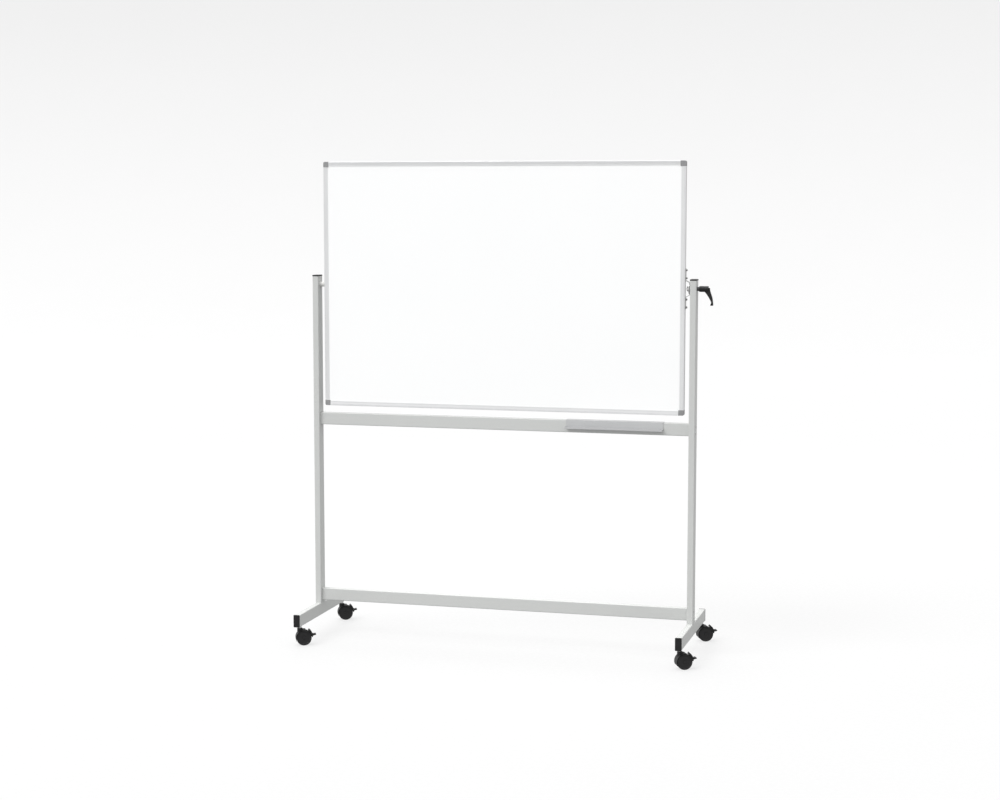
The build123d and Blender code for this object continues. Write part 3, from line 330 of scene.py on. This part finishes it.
def wheel_plastic(name, centre, axis):
    """Hard black wheel: turned rings on the face, and a tread greyed and scuffed by the floor."""
    look = Look(name, ior=1.49)
    offset = look.node("ShaderNodeVectorMath", operation="SUBTRACT")
    look.link(look.coords.outputs["Object"], offset.inputs[0])
    offset.inputs[1].default_value = centre
    swept = look.node("ShaderNodeVectorMath", operation="CROSS_PRODUCT")
    look.link(offset.outputs[0], swept.inputs[0])
    swept.inputs[1].default_value = axis
    length = look.node("ShaderNodeVectorMath", operation="LENGTH")
    look.link(swept.outputs[0], length.inputs[0])
    radius = length.outputs["Value"]
    tread = look.span(radius, WHEEL_RADIUS - 0.0022, WHEEL_RADIUS - 0.0004)
    rings = look.math("SINE", look.math("MULTIPLY", radius, 5200.0))
    grime = look.span(look.noise(320.0, 4.0, 0.65), 0.35, 0.7)
    cloud = look.span(look.noise(90.0, 2.0), 0.3, 0.7)
    base = look.blend(cloud, (0.012, 0.012, 0.0125), (0.016, 0.016, 0.0165))
    worn = look.math("MULTIPLY", tread, look.span(grime, 0, 1, 0.15, 0.45))
    base = look.blend(worn, base, (0.034, 0.033, 0.032))
    scuff = look.scratches(340.0, (1.0, 1.0, 1.0), 0.63)
    base = look.blend(look.math("MULTIPLY", scuff, 0.35), base, (0.08, 0.08, 0.08))
    look.colour(base)
    face_rough = look.span(look.noise(600.0, 2.0), 0.3, 0.7, 0.28, 0.4)
    look.rough(look.math("ADD", face_rough, look.math("MULTIPLY", tread, 0.3)))
    look.put(look.bsdf.inputs["Specular IOR Level"], look.span(tread, 0.0, 1.0, 0.3, 0.06))
    look.bump(rings, 0.00001, 0.35)
    look.bump(look.noise(2400.0, 2.0), 0.00003, 0.4)
    look.bump(look.math("MULTIPLY", grime, tread), 0.00012, 0.4)
    return look.mat


def floor_finish(name):
    """Plain white studio floor, lit from within so that the shadows on it stay faint."""
    look = Look(name, roughness=0.7)
    body = look.blend(look.span(look.noise(1.6, 3.0), 0.3, 0.7), (0.16, 0.16, 0.16), (0.157, 0.157, 0.157))
    look.colour(body)
    look.bsdf.inputs["Emission Color"].default_value = (1.0, 1.0, 1.0, 1)
    look.bsdf.inputs["Emission Strength"].default_value = 0.69
    look.rough(look.span(look.noise(60.0, 2.0), 0.3, 0.7, 0.62, 0.78))
    look.bsdf.inputs["Specular IOR Level"].default_value = 0.2
    return look.mat


def dress(material, *names):
    """The CAD node's own material slots take this material."""
    for name in names:
        mesh = NODES[name].data
        if not mesh.materials:
            mesh.materials.append(material)
        for index in range(len(mesh.materials)):
            mesh.materials[index] = material


# ------------------------------------------------------------------ finishes on the CAD pieces

paint = powder_coat("stand_powder_coat", (0.572, 0.582, 0.572), (0.553, 0.563, 0.553))
tray_coat = powder_coat("tray_powder_coat", (0.5, 0.505, 0.51), (0.482, 0.488, 0.493), 0.3, 0.44)
alu_x = extruded_aluminium("frame_aluminium_across", "x")
alu_z = extruded_aluminium("frame_aluminium_upright", "z")
enamel = writing_enamel("writing_enamel")
corner = moulded_plastic("corner_plastic", (0.248, 0.25, 0.252), 0.4, 0.54, 1100.0, 0.12, 0.4)
black = moulded_plastic("black_cap_plastic", (0.009, 0.009, 0.0095), 0.4, 0.55, 1300.0, 0.03, 0.3)
lever_black = moulded_plastic("lever_plastic", (0.01, 0.01, 0.0105), 0.36, 0.5, 1700.0, 0.02, 0.3)
castor_black = moulded_plastic("castor_plastic", (0.011, 0.011, 0.0115), 0.38, 0.52, 1500.0, 0.04, 0.3)
nylon = moulded_plastic("nylon_bush", (0.62, 0.62, 0.6), 0.36, 0.5, 900.0, 0.05)
fibre = moulded_plastic("fibre_washer", (0.06, 0.055, 0.05), 0.6, 0.8, 600.0, 0.05)
card = moulded_plastic("core_card", (0.45, 0.36, 0.25), 0.8, 0.95, 300.0, 0.0)
steel = turned_steel("zinc_steel")
bright = turned_steel("bracket_steel", (0.52, 0.525, 0.53), 0.28, 0.42, (1, 1, 0.05))
screw_steel = turned_steel("screw_steel", (0.36, 0.36, 0.365), 0.28, 0.42)
dark_steel = turned_steel("black_oxide_steel", (0.1, 0.1, 0.105), 0.3, 0.45)

dress(paint, "upright_left", "upright_right", "mid_crossbar", "base_crossbar", "foot_left", "foot_right")
dress(black, "upright_caps", "foot_caps")
dress(lever_black, "lever_handle")
dress(steel, "crossbar_plugs", "upright_plugs", "pivot_anchor", "clamp_sleeve")
dress(steel, "crossbar_bolts", "foot_bolts", "castor_stems", "castor_nuts", "clamp_nut", "clamp_plate")
dress(screw_steel, "pivot_bolt", "bracket_screws")
dress(dark_steel, "clamp_stud", "lever_screw")
dress(nylon, "pivot_bush")
dress(fibre, "friction_washer")
dress(enamel, "front_sheet", "rear_sheet")
dress(card, "panel_core")
dress(alu_x, "frame_top", "frame_bottom")
dress(alu_z, "frame_left", "frame_right")
dress(corner, *[n for n in NODES if n.startswith("corner_cap_")])
dress(bright, "clamp_bracket")
dress(tray_coat, "pen_tray")
for place in CASTORS:
    dress(castor_black, f"castor_housing_{place}", f"brake_pedal_{place}")
    dress(steel, f"castor_axle_{place}")


# ------------------------------------------------------------------ finely turned wheels


def wheel_section():
    """Half section of one wheel from its hub cap round to the bore: (distance out, radius) pairs."""
    edge = [
        (WHEEL_OUTER - WHEEL_EDGE * (1 - math.sin(a)), WHEEL_RADIUS - WHEEL_EDGE * (1 - math.cos(a)))
        for a in (math.radians(90 - 15 * step) for step in range(7))
    ]
    groove = WHEEL_INNER + 0.0045
    return [
        (WHEEL_OUTER - 0.0006, 0.0),
        (WHEEL_OUTER - 0.0003, 0.004),
        (WHEEL_OUTER - 0.0003, 0.0062),
        (WHEEL_OUTER - 0.0006, 0.0068),
        (WHEEL_OUTER - 0.0019, 0.0073),
        (WHEEL_OUTER - 0.0017, 0.0078),
        (WHEEL_OUTER - 0.0016, 0.0086),
        (WHEEL_OUTER - 0.0012, 0.0160),
        (WHEEL_OUTER - 0.0016, 0.0236),
        (WHEEL_OUTER - 0.0016, 0.0243),
        (WHEEL_OUTER - 0.0013, 0.0248),
        (WHEEL_OUTER - 0.0004, 0.0254),
        (WHEEL_OUTER - 0.0001, 0.0260),
        *edge,
        (groove + 0.0009, WHEEL_RADIUS),
        (groove + 0.0006, WHEEL_RADIUS - 0.0004),
        (groove - 0.0006, WHEEL_RADIUS - 0.0004),
        (groove - 0.0009, WHEEL_RADIUS),
        (WHEEL_INNER + 0.0010, WHEEL_RADIUS),
        (WHEEL_INNER + 0.0003, WHEEL_RADIUS - 0.0003),
        (WHEEL_INNER, WHEEL_RADIUS - 0.0010),
        (WHEEL_INNER, WHEEL_RADIUS - 0.0040),
        (WHEEL_OUTER - 0.0045, WHEEL_RADIUS - 0.0045),
        (WHEEL_OUTER - 0.0045, 0.0080),
        (WHEEL_INNER, 0.0075),
        (WHEEL_INNER, BORE_RADIUS),
        (AXLE_END, BORE_RADIUS),
        (AXLE_END, 0.0),
    ]


def lathe(name, section, centre, axis, segments):
    """Turns the section about the axis through centre into one closed smooth mesh."""
    out = Vector(axis).normalized()
    up = Vector((0, 0, 1))
    side = out.cross(up).normalized()
    origin = Vector(centre)
    bm = bmesh.new()
    rings = []
    for distance, radius in section:
        middle = origin + out * distance
        if radius == 0.0:
            rings.append([bm.verts.new(middle)] * segments)
            continue
        turns = (2 * math.pi * step / segments for step in range(segments))
        rings.append([bm.verts.new(middle + radius * (up * math.cos(t) + side * math.sin(t))) for t in turns])
    for inner, outer in zip(rings, rings[1:]):
        for step in range(segments):
            following = (step + 1) % segments
            corners = (inner[step], outer[step], outer[following], inner[following])
            bm.faces.new(tuple(dict.fromkeys(corners)))
    bmesh.ops.recalc_face_normals(bm, faces=bm.faces)
    for face in bm.faces:
        face.smooth = True
    for edge in bm.edges:
        edge.smooth = edge.calc_face_angle(0.0) < SHARP_EDGE
    return object_from(bm, name)


for place in CASTORS:
    for end, way in (("near", 1), ("far", -1)):
        node = f"wheel_{place}_{end}"
        roll = JOINTS[f"roll_{place}_{end}"]
        outwards = [way * part for part in roll["axis"]]
        wheel = lathe(f"turned_{node}", wheel_section(), roll["pos_m"], outwards, WHEEL_SEGMENTS)
        wheel.data.materials.append(wheel_plastic(f"plastic_{node}", roll["pos_m"], roll["axis"]))
        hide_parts(node)
        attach(wheel, node)


# ------------------------------------------------------------------ the spring inside the clamping lever


def coil_spring(name, low, high):
    """A compression spring along X between two X values, with its end turns wound closed."""
    axis_y = (low[1] + high[1]) / 2
    axis_z = (low[2] + high[2]) / 2
    radius = (high[2] - low[2]) / 2 - SPRING_WIRE
    start, end = low[0] + SPRING_WIRE, high[0] - SPRING_WIRE
    closed = 2 * SPRING_WIRE
    steps = int(SPRING_TURNS * SPRING_STEPS)
    bm = bmesh.new()
    rings = []
    for step in range(steps + 1):
        turn = SPRING_TURNS * step / steps
        if turn < 1:
            x = start + closed * turn
        elif turn > SPRING_TURNS - 1:
            x = end - closed * (SPRING_TURNS - turn)
        else:
            x = start + closed + (end - start - 2 * closed) * (turn - 1) / (SPRING_TURNS - 2)
        angle = 2 * math.pi * turn
        outwards = Vector((0, math.cos(angle), math.sin(angle)))
        middle = Vector((x, axis_y, axis_z)) + radius * outwards
        ring = []
        for side in range(SPRING_SIDES):
            around = 2 * math.pi * side / SPRING_SIDES
            offset = outwards * math.cos(around) + Vector((1, 0, 0)) * math.sin(around)
            ring.append(bm.verts.new(middle + SPRING_WIRE * offset))
        rings.append(ring)
    for first, second in zip(rings, rings[1:]):
        for side in range(SPRING_SIDES):
            following = (side + 1) % SPRING_SIDES
            bm.faces.new((first[side], first[following], second[following], second[side]))
    bm.faces.new(rings[0])
    bm.faces.new(reversed(rings[-1]))
    bmesh.ops.recalc_face_normals(bm, faces=bm.faces)
    for face in bm.faces:
        face.smooth = len(face.verts) == 4
    return object_from(bm, name)


spring_low, spring_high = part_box("lever_spring")
spring = coil_spring("coiled_lever_spring", spring_low, spring_high)
spring.data.materials.append(dark_steel)
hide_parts("lever_spring")
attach(spring, "clamp_screw")
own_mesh(spring)


# ------------------------------------------------------------------ floor, light, camera


def make_floor():
    """A wide plain sheet on the ground, curving up far behind."""
    bm = bmesh.new()
    rows = [(FLOOR_FRONT, 0.0), (FLOOR_BACK, 0.0)]
    for step in range(1, FLOOR_BEND_STEPS + 1):
        angle = math.radians(90 * step / FLOOR_BEND_STEPS)
        rows.append((FLOOR_BACK + FLOOR_BEND * math.sin(angle), FLOOR_BEND * (1 - math.cos(angle))))
    rows.append((FLOOR_BACK + FLOOR_BEND, FLOOR_TOP))
    sides = (-FLOOR_HALF_WIDTH, FLOOR_HALF_WIDTH)
    verts = [[bm.verts.new((x, y, z)) for x in sides] for y, z in rows]
    for near, far in zip(verts, verts[1:]):
        bm.faces.new((near[0], near[1], far[1], far[0]))
    for face in bm.faces:
        face.smooth = True
    floor = object_from(bm, "floor")
    floor.data.materials.append(floor_finish("floor_finish"))
    floor.visible_diffuse = False
    floor.visible_glossy = False


def make_surround():
    """A white world for the camera, and for the light one that is dimmer below, to the right and behind."""
    world = bpy.data.worlds.new("studio")
    world.use_nodes = True
    nodes, links = world.node_tree.nodes, world.node_tree.links
    nodes.clear()

    def ramp(value, low, high, to_low, to_high):
        made = nodes.new("ShaderNodeMapRange")
        for socket, number in zip(("From Min", "From Max", "To Min", "To Max"), (low, high, to_low, to_high)):
            made.inputs[socket].default_value = number
        links.new(value, made.inputs["Value"])
        return made

    def times(first, second):
        made = nodes.new("ShaderNodeMath")
        made.operation = "MULTIPLY"
        links.new(first, made.inputs[0])
        links.new(second, made.inputs[1])
        return made.outputs[0]

    coords = nodes.new("ShaderNodeTexCoord")
    split = nodes.new("ShaderNodeSeparateXYZ")
    links.new(coords.outputs["Generated"], split.inputs[0])
    rise = ramp(split.outputs[2], -0.75, -0.1, 0.3, 0.92)
    rise.interpolation_type = "SMOOTHSTEP"
    dim_right = ramp(split.outputs[0], 0.1, 1.0, 1.0, 0.9)
    dim_rear = ramp(split.outputs[1], 0.3, 1.0, 1.0, 0.7)

    seen = nodes.new("ShaderNodeBackground")
    seen.inputs["Color"].default_value = (0.98, 0.98, 0.98, 1)
    lit = nodes.new("ShaderNodeBackground")
    lit.inputs["Color"].default_value = (1.0, 1.0, 1.0, 1)
    sideways = times(dim_right.outputs[0], dim_rear.outputs[0])
    links.new(times(rise.outputs[0], sideways), lit.inputs["Strength"])

    path = nodes.new("ShaderNodeLightPath")
    pick = nodes.new("ShaderNodeMixShader")
    links.new(path.outputs["Is Camera Ray"], pick.inputs[0])
    links.new(lit.outputs[0], pick.inputs[1])
    links.new(seen.outputs[0], pick.inputs[2])
    out = nodes.new("ShaderNodeOutputWorld")
    links.new(pick.outputs[0], out.inputs[0])
    bpy.context.scene.world = world


def make_lamps():
    """Two wide suns, from the upper left in front and from above, and weak softboxes left and behind."""
    for name, towards, strength, spread in SUNS:
        sun = bpy.data.lights.new(name, "SUN")
        sun.energy = strength
        sun.angle = math.radians(spread)
        lamp = bpy.data.objects.new(name, sun)
        lamp.rotation_euler = Vector(towards).to_track_quat("Z", "Y").to_euler()
        bpy.context.scene.collection.objects.link(lamp)

    for name, place, size, power in SOFTBOXES:
        data = bpy.data.lights.new(name, "AREA")
        data.shape = "SQUARE"
        data.size = size
        data.energy = power
        lamp = bpy.data.objects.new(name, data)
        lamp.location = place
        aim = LAMP_TARGET - lamp.location
        lamp.rotation_euler = aim.to_track_quat("-Z", "Y").to_euler()
        bpy.context.scene.collection.objects.link(lamp)


def make_camera():
    """The view from CAMERA_PLACE, level across."""
    data = bpy.data.cameras.new("camera")
    data.sensor_width = SENSOR_WIDTH
    data.lens = CAMERA_LENS
    camera = bpy.data.objects.new("camera", data)
    camera.location = CAMERA_PLACE
    camera.rotation_euler = (math.pi / 2 - CAMERA_DOWN, 0.0, CAMERA_TURN)
    bpy.context.scene.collection.objects.link(camera)
    bpy.context.scene.camera = camera


make_floor()
make_surround()
make_lamps()
make_camera()
bpy.context.scene.view_settings.view_transform = "Standard"
